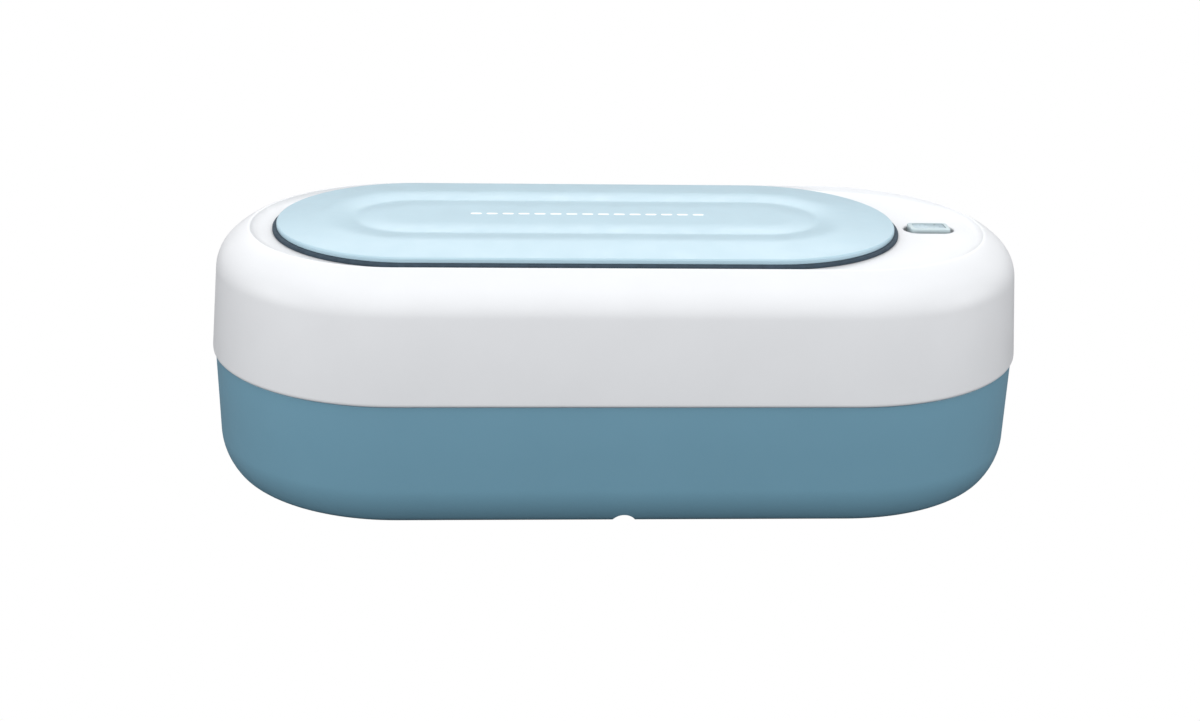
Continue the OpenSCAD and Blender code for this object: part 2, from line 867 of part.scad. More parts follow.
module rubber_feet() {
    height = recess_z + foot_pocket;
    color("dimgray")
    at_corners(foot_x, foot_y) {
        cylinder(d1 = foot_diameter - 2 * foot_round, d2 = foot_diameter, h = foot_round);
        translate([0, 0, foot_round]) cylinder(d = foot_diameter, h = height - foot_round);
    }
}

base_shell();
top_housing();
lid_cover();
lid_seal();
tank();
tank_gasket();
coupling_plate();
piezo_disc();
button_cap();
switch_plunger();
plunger_spring();
switch_body();
switch_board();
switch_screws();
indicator_led();
driver_board();
board_screws();
transformer_core();
transformer_winding();
bulk_capacitors();
film_capacitors();
power_transistors();
heat_sink();
control_chip();
board_headers();
power_socket();
socket_nut();
power_leads();
transducer_leads();
switch_cable();
housing_screws();
rubber_feet();
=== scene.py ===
"""Looks for the ultrasonic cleaner: rounded shells, satin plastics, drawn steel and a plain white studio.

Outlines are in millimetres, as (distance from the spine, height), and are swept round a stadium track.
"""
import math

import bmesh
import bpy
from mathutils import Matrix, Vector


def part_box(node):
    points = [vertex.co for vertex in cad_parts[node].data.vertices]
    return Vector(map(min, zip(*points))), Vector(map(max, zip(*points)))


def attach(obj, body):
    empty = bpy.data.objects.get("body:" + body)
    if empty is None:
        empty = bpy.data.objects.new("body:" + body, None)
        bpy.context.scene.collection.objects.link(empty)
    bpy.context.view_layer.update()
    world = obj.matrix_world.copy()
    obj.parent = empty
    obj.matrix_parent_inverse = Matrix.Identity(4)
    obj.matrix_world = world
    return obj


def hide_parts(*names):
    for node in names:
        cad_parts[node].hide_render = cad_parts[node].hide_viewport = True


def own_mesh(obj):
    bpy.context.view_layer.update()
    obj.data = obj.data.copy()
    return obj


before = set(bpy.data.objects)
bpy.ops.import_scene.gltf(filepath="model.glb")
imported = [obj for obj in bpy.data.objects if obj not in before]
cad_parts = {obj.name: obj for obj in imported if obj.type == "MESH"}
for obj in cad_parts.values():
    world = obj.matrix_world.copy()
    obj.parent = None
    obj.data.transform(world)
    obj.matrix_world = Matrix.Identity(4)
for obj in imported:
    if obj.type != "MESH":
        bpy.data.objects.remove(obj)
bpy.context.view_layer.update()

MM = 0.001
WELD = 1e-7


# ---------------------------------------------------------------- sizes taken from the frame

def box_mm(node):
    """Lowest and highest corners of a CAD node, in millimetres."""
    low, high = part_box(node)
    return low / MM, high / MM


class Track:
    """A straight spine along X that an outline is swept round."""

    def __init__(self, middle, spine):
        self.middle = middle
        self.spine = spine


housing_high = box_mm("top_housing")[1]
base_low, base_high = box_mm("base_shell")
lid_low, lid_high = box_mm("lid_cover")
seal_low, seal_high = box_mm("lid_seal")
tank_low, tank_high = box_mm("tank")
cap_low, cap_high = box_mm("button_cap")
foot_low, foot_high = box_mm("rubber_feet")
screw_low, screw_high = box_mm("housing_screws")
socket_low, socket_high = box_mm("power_socket")
switch_high = box_mm("switch_board")[1]
board_low, board_high = box_mm("driver_board")

BODY_R = housing_high.y
LID_R = lid_high.y
FLANGE_R = tank_high.y
BODY = Track(0, housing_high.x - BODY_R)
TANK = Track((lid_low.x + lid_high.x) / 2, (lid_high.x - lid_low.x) / 2 - LID_R)

WALL = 2.4
TONGUE = 3
UNDERSIDE_DROP = 0.4
SPLIT_Z = base_high.z - TONGUE
CREST_Z = housing_high.z
DECK_Z = seal_low.z
TOP_Z = lid_high.z
BASE_Z = base_low.z - UNDERSIDE_DROP
# How far added forms run into what they join, how far cutters run past what they cut, and a close fit
OVERLAP = 0.4
PAST = 1
SLIP = 0.05
TO_REAR = Matrix.Rotation(math.radians(-90), 3, "X")
TURN_STEPS = 72
RUN_STEPS = 18
ARC_STEPS = 10
CORNER_STEPS = 5
SMOOTH_ANGLE = 32


# ---------------------------------------------------------------- outlines

def arc(cx, cz, radius, start, end, steps=ARC_STEPS):
    """Points along an arc, angles in degrees."""
    return [
        (cx + radius * math.cos(math.radians(start + (end - start) * i / steps)),
         cz + radius * math.sin(math.radians(start + (end - start) * i / steps)))
        for i in range(steps + 1)
    ]


def soft_corner(before, corner, after, steps):
    """A smooth bend from one point to another that is pulled towards a corner."""
    a, b, c = Vector(before), Vector(corner), Vector(after)
    points = []
    for i in range(steps + 1):
        t = i / steps
        points.append(tuple(a * (1 - t) ** 2 + b * 2 * t * (1 - t) + c * t * t))
    return points


def rounded(corners):
    """An open outline whose inner corners are (r, z, radius) and are replaced with smooth bends."""
    points = [corners[0][:2]]
    for last, here, following in zip(corners, corners[1:], corners[2:]):
        p = Vector(here[:2])
        to_last = Vector(last[:2]) - p
        to_next = Vector(following[:2]) - p
        radius = here[2] if len(here) > 2 else 0
        if radius == 0:
            points.append(tuple(p))
            continue
        reach = radius / math.tan(to_last.angle(to_next) / 2)
        reach = min(reach, to_last.length * 0.5, to_next.length * 0.5)
        start = p + to_last.normalized() * reach
        end = p + to_next.normalized() * reach
        points += soft_corner(start, p, end, CORNER_STEPS)
    points.append(corners[-1][:2])
    return points


def on(track, points):
    """Puts an outline's points on a track, ready to sweep."""
    return [(r, z, track) for r, z in points]


# ---------------------------------------------------------------- meshes

def new_object(name, bm):
    """Turns a finished bmesh into an object in the scene."""
    mesh = bpy.data.meshes.new(name)
    bmesh.ops.recalc_face_normals(bm, faces=bm.faces)
    bm.to_mesh(mesh)
    bm.free()
    obj = bpy.data.objects.new(name, mesh)
    bpy.context.scene.collection.objects.link(obj)
    return obj


def skin(bm, rings, closed=False):
    """Adds faces between each ring of vertices and the next. If closed, the last ring meets the first."""
    pairs = list(zip(rings, rings[1:]))
    if closed:
        pairs.append((rings[-1], rings[0]))
    for ring, following in pairs:
        for i in range(len(ring)):
            j = (i + 1) % len(ring)
            bm.faces.new((ring[i], ring[j], following[j], following[i]))


def track_stations():
    """(end, angle) pairs round a stadium: end runs from -1 to 1 along the spine."""
    stations = [(1, -90 + 180 * i / TURN_STEPS) for i in range(TURN_STEPS)]
    stations += [(1 - 2 * i / RUN_STEPS, 90) for i in range(RUN_STEPS)]
    stations += [(-1, 90 + 180 * i / TURN_STEPS) for i in range(TURN_STEPS)]
    stations += [(-1 + 2 * i / RUN_STEPS, 270) for i in range(RUN_STEPS)]
    return stations


def sweep(name, section, closed=False):
    """Sweeps (r, z, track) points round their tracks. A closed section is joined end to end."""
    bm = bmesh.new()
    rings = []
    for r, z, track in section:
        ring = []
        for end, angle in track_stations():
            turn = math.radians(angle)
            x = track.middle + end * track.spine + r * math.cos(turn)
            ring.append(bm.verts.new(Vector((x, r * math.sin(turn), z)) * MM))
        rings.append(ring)
    skin(bm, rings, closed)
    bmesh.ops.remove_doubles(bm, verts=bm.verts, dist=WELD)
    return new_object(name, bm)


def lathe(name, section, centre, steps=64, tilt=None):
    """Turns an open outline that starts and ends on the axis round a vertical axis."""
    bm = bmesh.new()
    rings = []
    for r, z in section:
        ring = []
        for i in range(steps):
            a = 2 * math.pi * i / steps
            ring.append(bm.verts.new(Vector((r * math.cos(a), r * math.sin(a), z)) * MM))
        rings.append(ring)
    skin(bm, rings)
    bmesh.ops.remove_doubles(bm, verts=bm.verts, dist=WELD)
    if tilt:
        bmesh.ops.rotate(bm, verts=bm.verts, matrix=tilt)
    bmesh.ops.translate(bm, verts=bm.verts, vec=Vector(centre) * MM)
    return new_object(name, bm)


def bar(radius, low, high):
    """Outline of a plain round bar."""
    return [(0, low), (radius, low), (radius, high), (0, high)]


def rearward(name, x, z, outline, steps=64):
    """A round form that runs from front to back. Its outline is (radius, distance back)."""
    return lathe(name, outline, (x, 0, z), steps, TO_REAR)


def rounded_loop(length, width, corner, steps):
    """Points round a rectangle with round corners."""
    points = []
    for quarter, (sx, sy) in enumerate([(1, 1), (-1, 1), (-1, -1), (1, -1)]):
        cx, cy = sx * (length / 2 - corner), sy * (width / 2 - corner)
        points += arc(cx, cy, corner, quarter * 90, quarter * 90 + 90, steps)
    return points


def add_loft(bm, centre, levels, steps=8):
    """Stacks rounded rectangles given as (length, width, corner, z) and closes both ends."""
    loops = []
    for length, width, corner, z in levels:
        loops.append([
            bm.verts.new(Vector((centre[0] + x, centre[1] + y, z)) * MM)
            for x, y in rounded_loop(length, width, corner, steps)
        ])
    skin(bm, loops)
    bm.faces.new(loops[0])
    bm.faces.new(loops[-1])


def loft(name, centre, levels):
    """An object that is one stack of rounded rectangles."""
    bm = bmesh.new()
    add_loft(bm, centre, levels)
    return new_object(name, bm)


def combine(obj, other, operation):
    """Adds or cuts another mesh, and removes that other object."""
    modifier = obj.modifiers.new(operation, "BOOLEAN")
    modifier.operation = operation
    modifier.solver = "EXACT"
    modifier.object = other
    graph = bpy.context.evaluated_depsgraph_get()
    result = bpy.data.meshes.new_from_object(obj.evaluated_get(graph))
    obj.modifiers.clear()
    obj.data = result
    bpy.data.objects.remove(other)


def combine_posts(obj, operation, places, radius, low, high):
    """Adds or cuts the same upright round post at each place."""
    for x, y in places:
        combine(obj, lathe("post", bar(radius, low, high), (x, y, 0), 48), operation)


def close_up(obj):
    """Welds points that cuts leave on top of each other, and fills the pinholes between them."""
    bm = bmesh.new()
    bm.from_mesh(obj.data)
    bmesh.ops.remove_doubles(bm, verts=bm.verts, dist=WELD)
    bmesh.ops.dissolve_degenerate(bm, edges=bm.edges, dist=WELD)
    bmesh.ops.holes_fill(bm, edges=[edge for edge in bm.edges if edge.is_boundary], sides=3)
    bm.to_mesh(obj.data)
    bm.free()


def dress(obj, body, material, nodes=()):
    """Shades, paints and attaches a finished piece."""
    obj.data.materials.clear()
    obj.data.materials.append(material)
    obj.data.shade_smooth()
    obj.data.set_sharp_from_angle(angle=math.radians(SMOOTH_ANGLE))
    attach(obj, body)
    if nodes:
        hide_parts(*nodes)
    return obj


# ---------------------------------------------------------------- materials

def linear(red, green, blue):
    """A colour given in the usual 0-255 scale, as linear light."""
    def channel(value):
        value /= 255
        return value / 12.92 if value <= 0.04045 else ((value + 0.055) / 1.055) ** 2.4
    return (channel(red), channel(green), channel(blue), 1)


class Shader:
    """A node material with its Principled node and helpers that hang texture on it."""

    def __init__(self, name):
        self.material = bpy.data.materials.new(name)
        self.material.use_nodes = True
        self.nodes = self.material.node_tree.nodes
        self.links = self.material.node_tree.links
        self.surface = self.nodes["Principled BSDF"]
        self.place = self.nodes.new("ShaderNodeTexCoord").outputs["Object"]

    def set(self, **values):
        """Sets plain values on the surface, named as its inputs are."""
        for key, value in values.items():
            self.surface.inputs[key.replace("_", " ")].default_value = value
        return self

    def noise(self, scale, detail=3, stretch=(1, 1, 1)):
        """A noise texture fixed to the object, per metre."""
        mapping = self.nodes.new("ShaderNodeMapping")
        mapping.inputs["Scale"].default_value = stretch
        texture = self.nodes.new("ShaderNodeTexNoise")
        texture.inputs["Scale"].default_value = scale
        texture.inputs["Detail"].default_value = detail
        self.links.new(self.place, mapping.inputs["Vector"])
        self.links.new(mapping.outputs["Vector"], texture.inputs["Vector"])
        return texture.outputs["Fac"]

    def ramp(self, factor, low, high, start=0.35, end=0.65):
        """Maps a texture to a range of numbers or colours."""
        ramp = self.nodes.new("ShaderNodeValToRGB")
        stops = ramp.color_ramp.elements
        for i, (place, value) in enumerate([(start, low), (end, high)]):
            stops[i].position = place
            stops[i].color = value if isinstance(value, tuple) else (value, value, value, 1)
        self.links.new(factor, ramp.inputs["Fac"])
        return ramp.outputs["Color"]

    def paint(self, factor, colour, spread):
        """Lets the colour wander a little either side of its middle."""
        low = tuple(c * (1 - spread) for c in colour[:3]) + (1,)
        high = tuple(min(1, c * (1 + spread)) for c in colour[:3]) + (1,)
        self.links.new(self.ramp(factor, low, high), self.surface.inputs["Base Color"])
        return self

    def roughness(self, factor, low, high):
        """Lets the sheen wander between two roughnesses."""
        self.links.new(self.ramp(factor, low, high), self.surface.inputs["Roughness"])
        return self

    def bump(self, factors, strength):
        """Adds each (texture, depth in millimetres) as relief, one on top of another."""
        normal = None
        for factor, depth in factors:
            bump = self.nodes.new("ShaderNodeBump")
            bump.inputs["Strength"].default_value = strength
            bump.inputs["Distance"].default_value = depth * MM
            self.links.new(factor, bump.inputs["Height"])
            if normal:
                self.links.new(normal, bump.inputs["Normal"])
            normal = bump.outputs["Normal"]
        self.links.new(normal, self.surface.inputs["Normal"])
        return self


def shade_crevices(shader, reach, strength, darkest):
    """Paints shade into the colour in gaps and folds, down to a darkest share of the colour."""
    crevice = shader.nodes.new("ShaderNodeAmbientOcclusion")
    crevice.samples = 8
    crevice.inputs["Distance"].default_value = reach * MM
    deepen = shader.nodes.new("ShaderNodeMath")
    deepen.operation = "POWER"
    deepen.inputs[1].default_value = strength
    shader.links.new(crevice.outputs["AO"], deepen.inputs[0])
    limit = shader.nodes.new("ShaderNodeMath")
    limit.operation = "MULTIPLY_ADD"
    limit.inputs[1].default_value = 1 - darkest
    limit.inputs[2].default_value = darkest
    shader.links.new(deepen.outputs["Value"], limit.inputs[0])
    blend = shader.nodes.new("ShaderNodeMixRGB")
    blend.blend_type = "MULTIPLY"
    blend.inputs["Fac"].default_value = 1
    colour = shader.surface.inputs["Base Color"]
    shader.links.new(colour.links[0].from_socket, blend.inputs["Color1"])
    shader.links.new(limit.outputs["Value"], blend.inputs["Color2"])
    shader.links.new(blend.outputs["Color"], colour)


def moulded_plastic(name, colour, roughness, grain=0.012, grain_scale=3200, painted_crevice_shade=None):
    """Satin moulded ABS: spark-eroded grain, faint flow mottling and slightly uneven sheen. Painted
    crevice shade, if given, darkens its colour in gaps and folds.
    """
    shader = Shader(name).set(IOR=1.5, Specular_IOR_Level=0.42)
    mottling = shader.noise(60, 4)
    fine = shader.noise(grain_scale, 3)
    shader.paint(mottling, colour, 0.008)
    shader.roughness(shader.noise(180, 5), roughness - 0.04, roughness + 0.05)
    shader.bump([(shader.noise(25, 2), 0.008), (fine, grain)], 0.5)
    if painted_crevice_shade:
        shade_crevices(shader, *painted_crevice_shade)
    return shader.material


def gloss_plastic(name, colour, roughness=0.25, relief=0.01):
    """Small moulded or sleeved electrical parts."""
    shader = Shader(name).set(IOR=1.5, Specular_IOR_Level=0.5)
    shader.paint(shader.noise(300, 3), colour, 0.06)
    shader.roughness(shader.noise(900, 4), roughness - 0.05, roughness + 0.12)
    shader.bump([(shader.noise(1800, 3), relief)], 0.4)
    return shader.material


def rubber(name, colour):
    """Matt rubber or silicone with a fine skin."""
    shader = Shader(name).set(IOR=1.45, Specular_IOR_Level=0.25)
    shader.paint(shader.noise(400, 4), colour, 0.12)
    shader.roughness(shader.noise(1200, 4), 0.62, 0.8)
    shader.bump([(shader.noise(2600, 3), 0.02)], 0.6)
    return shader.material


def drawn_steel(name, colour, stretch, roughness=0.24):
    """Stainless sheet with fine drawing lines along one direction."""
    shader = Shader(name).set(Metallic=1.0)
    lines = shader.noise(700, 2, stretch)
    shader.paint(shader.noise(35, 3), colour, 0.03)
    shader.roughness(lines, roughness - 0.03, roughness + 0.04)
    shader.bump([(lines, 0.0008), (shader.noise(14, 2), 0.03)], 0.3)
    return shader.material


def plain_metal(name, colour, roughness=0.3):
    """Plated screws, springs and cast or extruded small parts."""
    shader = Shader(name).set(Metallic=1.0)
    shader.paint(shader.noise(700, 4), colour, 0.1)
    shader.roughness(shader.noise(1500, 4), roughness - 0.08, roughness + 0.14)
    shader.bump([(shader.noise(2400, 3), 0.006)], 0.5)
    return shader.material


def fired_ceramic(name, colour, roughness=0.6):
    """Dull, speckled ceramic or ferrite."""
    shader = Shader(name).set(IOR=1.6, Specular_IOR_Level=0.4)
    shader.paint(shader.noise(2200, 5), colour, 0.14)
    shader.roughness(shader.noise(800, 3), roughness - 0.1, roughness + 0.1)
    shader.bump([(shader.noise(3000, 3), 0.015)], 0.6)
    return shader.material


def circuit_board(name):
    """Green solder mask with copper tracks showing through as slightly lighter lines."""
    shader = Shader(name).set(IOR=1.5, Specular_IOR_Level=0.5, Roughness=0.28)
    bricks = shader.nodes.new("ShaderNodeTexBrick")
    bricks.inputs["Scale"].default_value = 260
    bricks.inputs["Mortar Size"].default_value = 0.045
    bricks.inputs["Color1"].default_value = linear(12, 84, 46)
    bricks.inputs["Color2"].default_value = linear(16, 92, 52)
    bricks.inputs["Mortar"].default_value = linear(46, 128, 78)
    shader.links.new(shader.place, bricks.inputs["Vector"])
    shader.links.new(bricks.outputs["Color"], shader.surface.inputs["Base Color"])
    shader.bump([(bricks.outputs["Fac"], 0.02)], 0.4)
    return shader.material


def wound_copper(name):
    """Enamelled wire laid in even turns."""
    shader = Shader(name).set(Metallic=0.85, Roughness=0.32)
    wave = shader.nodes.new("ShaderNodeTexWave")
    wave.bands_direction = "Z"
    wave.inputs["Scale"].default_value = 420
    wave.inputs["Distortion"].default_value = 0.3
    shader.links.new(shader.place, wave.inputs["Vector"])
    turns = shader.ramp(wave.outputs["Fac"], linear(104, 48, 20), linear(206, 118, 60), 0.1, 0.9)
    shader.links.new(turns, shader.surface.inputs["Base Color"])
    shader.bump([(wave.outputs["Fac"], 0.12)], 0.7)
    return shader.material


# The white housing has shade painted into its gaps and folds: round the lid and seal, in the button's
# pocket, in the dish and along the split.
WHITE = moulded_plastic("white_housing_plastic", (0.82, 0.835, 0.86, 1), 0.4, painted_crevice_shade=(9, 1.6, 0.55))
BLUE = moulded_plastic("dusty_blue_plastic", (0.165, 0.34, 0.45, 1), 0.4)
PALE = moulded_plastic("pale_blue_lid_plastic", (0.44, 0.61, 0.70, 1), 0.33, 0.003, 2600)
# The button cap has shade painted into its gaps, round its edge and its window pocket.
CAP = moulded_plastic("button_plastic", (0.53, 0.64, 0.67, 1), 0.34, 0.004, painted_crevice_shade=(2, 1.2, 0.45))
WINDOW = gloss_plastic("button_window_plastic", (0.40, 0.52, 0.58, 1), 0.3, 0.0005)
PRINT = gloss_plastic("white_print_ink", (0.9, 0.93, 0.94, 1), 0.45)
# The seal is real rubber, and its dark slate colour also stands in for the shade in the gap under the
# lid's edge.
SEAL_AND_GAP_SHADE = rubber("seal_rubber_with_gap_shade", linear(58, 72, 84))
GASKET = rubber("grey_gasket_rubber", linear(140, 142, 144))
FOOT = rubber("foot_rubber", linear(70, 72, 74))
STEEL = drawn_steel("tank_steel", (0.66, 0.67, 0.68, 1), (0.12, 0.12, 1))
ZINC = plain_metal("zinc_plate", (0.72, 0.72, 0.7, 1))
SPRING = plain_metal("spring_steel", (0.6, 0.6, 0.6, 1), 0.22)
ALUMINIUM = plain_metal("machined_aluminium", (0.76, 0.77, 0.78, 1), 0.34)
PIEZO = fired_ceramic("piezo_ceramic", linear(206, 198, 170))
FERRITE = fired_ceramic("ferrite", linear(48, 48, 52), 0.5)
BLACK = gloss_plastic("black_moulding", linear(30, 30, 32), 0.35)
SLEEVE = gloss_plastic("capacitor_sleeve", linear(28, 40, 84), 0.25)
EPOXY = gloss_plastic("dipped_epoxy", linear(150, 44, 34), 0.3)
NYLON = gloss_plastic("ivory_nylon", linear(232, 226, 206), 0.4)
LENS = gloss_plastic("led_lens", linear(214, 232, 240), 0.12)
RED_WIRE = gloss_plastic("red_insulation", linear(188, 34, 30), 0.38)
ORANGE_WIRE = gloss_plastic("orange_insulation", linear(224, 110, 36), 0.38)
GREY_WIRE = gloss_plastic("grey_insulation", linear(160, 163, 166), 0.38)


# ---------------------------------------------------------------- white top housing

# The side wall turns into a tight shoulder arc, then a wide crown arc up to the crest
DRAFT = 4
SIDE_LEAN = 2
SHOULDER_R = 11.7
SHOULDER_TURN = 48
CROWN_R = 23.6
CREST_R = BODY_R - 11.7
SHOULDER_X = BODY_R - SIDE_LEAN - SHOULDER_R
CROWN_X = SHOULDER_X - (CROWN_R - SHOULDER_R) * math.cos(math.radians(SHOULDER_TURN))
CREST_TURN = math.degrees(math.acos((CREST_R - CROWN_X) / CROWN_R))
CROWN_Z = CREST_Z - CROWN_R * math.sin(math.radians(CREST_TURN))
SHOULDER_Z = CROWN_Z + (CROWN_R - SHOULDER_R) * math.sin(math.radians(SHOULDER_TURN))
# Inside the crest a dish runs down to the flat deck
DECK_UNDER = DECK_Z - 2.4
DISH_WIDTH = 2.9
DISH_R = (DISH_WIDTH ** 2 + (CREST_Z - DECK_Z) ** 2) / (2 * (CREST_Z - DECK_Z))
DISH_START = -math.degrees(math.acos(DISH_WIDTH / DISH_R))
# Seat for the tank's flange, the throat inside it and the collar that hangs below the deck
SEAT_R = FLANGE_R + 0.4
THROAT_R = FLANGE_R - 2.2
COLLAR_R = SEAT_R + 0.3
SEAT_Z = DECK_Z - 1.4
COLLAR_Z = SEAT_Z - 2.6
# The button's pocket, the pad under it and the cap
WELL = Track((cap_low.x + cap_high.x) / 2, 3.2)
WELL_R = 4.1
WELL_Z = DECK_Z - 1.4
PAD_SIZE = (21, 14, 0.6)
PAD_Z = WELL_Z - 2.4
CAP_SIZE = (11.8, 7.0, 1.0)
CAP_GAP = 0.08


def corner_places(low, high, size):
    """Centres of a part repeated at four corners, from the box round all four."""
    x = high.x - size / 2
    y = high.y - size / 2
    return [(sx * x, sy * y) for sx in (-1, 1) for sy in (-1, 1)]


# Screws, feet and the circuit boards, with the bosses and pilot holes that hold them
SCREW_HEAD = 5.7
SCREW_PLACES = corner_places(screw_low, screw_high, SCREW_HEAD)
SCREW_PILOT_R = 1.55
FOOT_SIZE = 12
FOOT_PLACES = corner_places(foot_low, foot_high, FOOT_SIZE)
BOARD_INSET = 4
BOARD_PLACES = [
    (x, side * (board_high.y - BOARD_INSET))
    for x in (board_low.x + BOARD_INSET, board_high.x - BOARD_INSET) for side in (-1, 1)
]
BOARD_PILOT_R = 1.3
SWITCH_PLACES = [(WELL.middle, -13), (WELL.middle, 13)]
SWITCH_PILOT_DEPTH = 6.4
HOUSING_BOSS_R = 4
SWITCH_BOSS_R = 2.8
BASE_BOSS_R = 4.5
STANDOFF_R = 3.2
POST_TOP = SPLIT_Z - 1.4


def housing_section():
    """Closed outline: side wall, shoulder, crest, dish, deck, tank seat and back along the inside."""
    crown_trim, dish_trim = 2.6, 9
    crown = arc(CROWN_X, CROWN_Z, CROWN_R, SHOULDER_TURN, CREST_TURN - crown_trim, 8)
    dish = arc(CREST_R - DISH_WIDTH, DECK_Z + DISH_R, DISH_R, DISH_START - dish_trim, -90, 8)
    inner_turn = math.degrees(math.asin((DECK_UNDER - CROWN_Z) / (CROWN_R - WALL)))
    outside = rounded([
        (BODY_R - WALL, SPLIT_Z), (BODY_R - 0.02, SPLIT_Z, 1.1), (BODY_R - 0.8, SPLIT_Z + 12),
    ])[:-1]
    outside += arc(SHOULDER_X, SHOULDER_Z, SHOULDER_R, DRAFT, SHOULDER_TURN, 14)[:-1]
    outside += crown
    outside += soft_corner(crown[-1], (CREST_R - 0.1, CREST_Z + 0.12), dish[0], 8)[1:-1]
    outside += dish
    seat = rounded([
        (SEAT_R + 2, DECK_Z), (SEAT_R, DECK_Z, 0.5), (SEAT_R, SEAT_Z, 0.3), (THROAT_R, SEAT_Z, 0.4),
        (THROAT_R, COLLAR_Z, 0.4), (COLLAR_R, COLLAR_Z, 0.4), (COLLAR_R, DECK_UNDER, 0.4),
        (COLLAR_R + 2, DECK_UNDER),
    ])
    inside = arc(CROWN_X, CROWN_Z, CROWN_R - WALL, inner_turn, SHOULDER_TURN, 4)[:-1]
    inside += arc(SHOULDER_X, SHOULDER_Z, SHOULDER_R - WALL, SHOULDER_TURN, DRAFT)
    return on(BODY, outside) + on(TANK, seat) + on(BODY, inside)


def well_cutter():
    """Pill-shaped pocket with a rounded rim where it meets the deck."""
    rim = 0.5
    flare = arc(WELL_R + rim, DECK_Z - rim, rim, 180, 96, 6)
    mouth, above = WELL_R + 2 * rim, DECK_Z + 3
    outline = [(0, WELL_Z)] + rounded([(1, WELL_Z), (WELL_R, WELL_Z, 0.4), (WELL_R, DECK_Z - rim)])[:-1]
    outline += flare + [(mouth, DECK_Z + rim), (mouth, above), (0, above)]
    return sweep("well_cutter", on(WELL, outline))


def make_top_housing():
    """Shell with screw bosses, the pad under the button's pocket, and the cap's hole."""
    obj = sweep("top_housing_shell", housing_section(), closed=True)
    middle = (WELL.middle, 0)
    join = DECK_UNDER + OVERLAP
    combine_posts(obj, "UNION", SCREW_PLACES, HOUSING_BOSS_R, POST_TOP, join)
    combine(obj, loft("pad", middle, [PAD_SIZE + (PAD_Z,), PAD_SIZE + (join,)]), "UNION")
    combine_posts(obj, "UNION", SWITCH_PLACES, SWITCH_BOSS_R, switch_high.z, join)
    combine(obj, well_cutter(), "DIFFERENCE")
    length, width, corner = CAP_SIZE
    opening = (length + 2 * CAP_GAP, width + 2 * CAP_GAP, corner + CAP_GAP)
    hole = loft("hole", middle, [opening + (PAD_Z - PAST,), opening + (WELL_Z + PAST,)])
    combine(obj, hole, "DIFFERENCE")
    combine_posts(obj, "DIFFERENCE", SCREW_PLACES, SCREW_PILOT_R, POST_TOP - PAST, screw_high.z + PAST)
    pilot_low, pilot_high = switch_high.z - PAST, switch_high.z + SWITCH_PILOT_DEPTH
    combine_posts(obj, "DIFFERENCE", SWITCH_PLACES, BOARD_PILOT_R, pilot_low, pilot_high)
    close_up(obj)
    return dress(obj, "base", WHITE, ["top_housing"])


# ---------------------------------------------------------------- blue base shell

# The wall leans in a little, then turns under through a wide bilge arc and a tight heel arc
BASE_TOP_R = base_high.y
BASE_LOW_R = BASE_TOP_R - 0.5
BILGE_R = 17
BILGE_TURN = 35
HEEL_R = 6
BILGE_X = BASE_LOW_R - BILGE_R
HEEL_X = BILGE_X + (BILGE_R - HEEL_R) * math.cos(math.radians(BILGE_TURN))
HEEL_Z = BASE_Z + HEEL_R
BILGE_Z = HEEL_Z + (BILGE_R - HEEL_R) * math.sin(math.radians(BILGE_TURN))
# The underside stands on a rim round a shallow recess, which the notch opens at the front
RIM_R = 42
RECESS_Z = BASE_Z + 1.6
FLOOR_Z = RECESS_Z + WALL
NOTCH_R = 3.2
NOTCH_Z = base_low.z / 2
# Casing screws sit on a shelf deep in a counterbore
SCREW_SHELF_Z = 24
COUNTERBORE_R = 3.25
CLEARANCE_R = 1.7
# The power inlet sits in a thickened part of the rear wall, with a round pocket outside
SOCKET_X = (socket_low.x + socket_high.x) / 2
SOCKET_Z = (socket_low.z + socket_high.z) / 2
SOCKET_R = 4
SOCKET_FACE = BODY_R - 2
INLET_BOSS_R = 9
INLET_FACE = SOCKET_FACE - 2.6
POCKET_R = 7.5


def base_section():
    """Outline from the middle of the underside, round the outside and back along the floor."""
    tongue_out = BASE_TOP_R - 2.1
    tongue_in = tongue_out - 1.3
    inner_turn = math.degrees(math.asin((BILGE_Z - FLOOR_Z) / (BILGE_R - WALL)))
    points = rounded([
        (0, RECESS_Z), (RIM_R, RECESS_Z, 0.6), (RIM_R + 0.8, BASE_Z, 0.6), (HEEL_X - 0.4, BASE_Z),
    ])
    points += arc(HEEL_X, HEEL_Z, HEEL_R, -90, -BILGE_TURN, 12)[:-1]
    points += arc(BILGE_X, BILGE_Z, BILGE_R, -BILGE_TURN, -1.2, 14)
    points += rounded([
        (BASE_LOW_R + 0.2, BILGE_Z + 10), (BASE_TOP_R, SPLIT_Z, 0.4), (tongue_out, SPLIT_Z, 0.2),
        (tongue_out, base_high.z, 0.4), (tongue_in, base_high.z, 0.4), (tongue_in, SPLIT_Z - 2, 0.4),
        (BASE_TOP_R - WALL, SPLIT_Z - 3.6, 0.6), (BASE_TOP_R - WALL - 0.2, SPLIT_Z - 9),
    ])
    points += arc(BILGE_X, BILGE_Z, BILGE_R - WALL, 0, -inner_turn + 3, 10)
    points += [(0, FLOOR_Z)]
    return on(BODY, points)


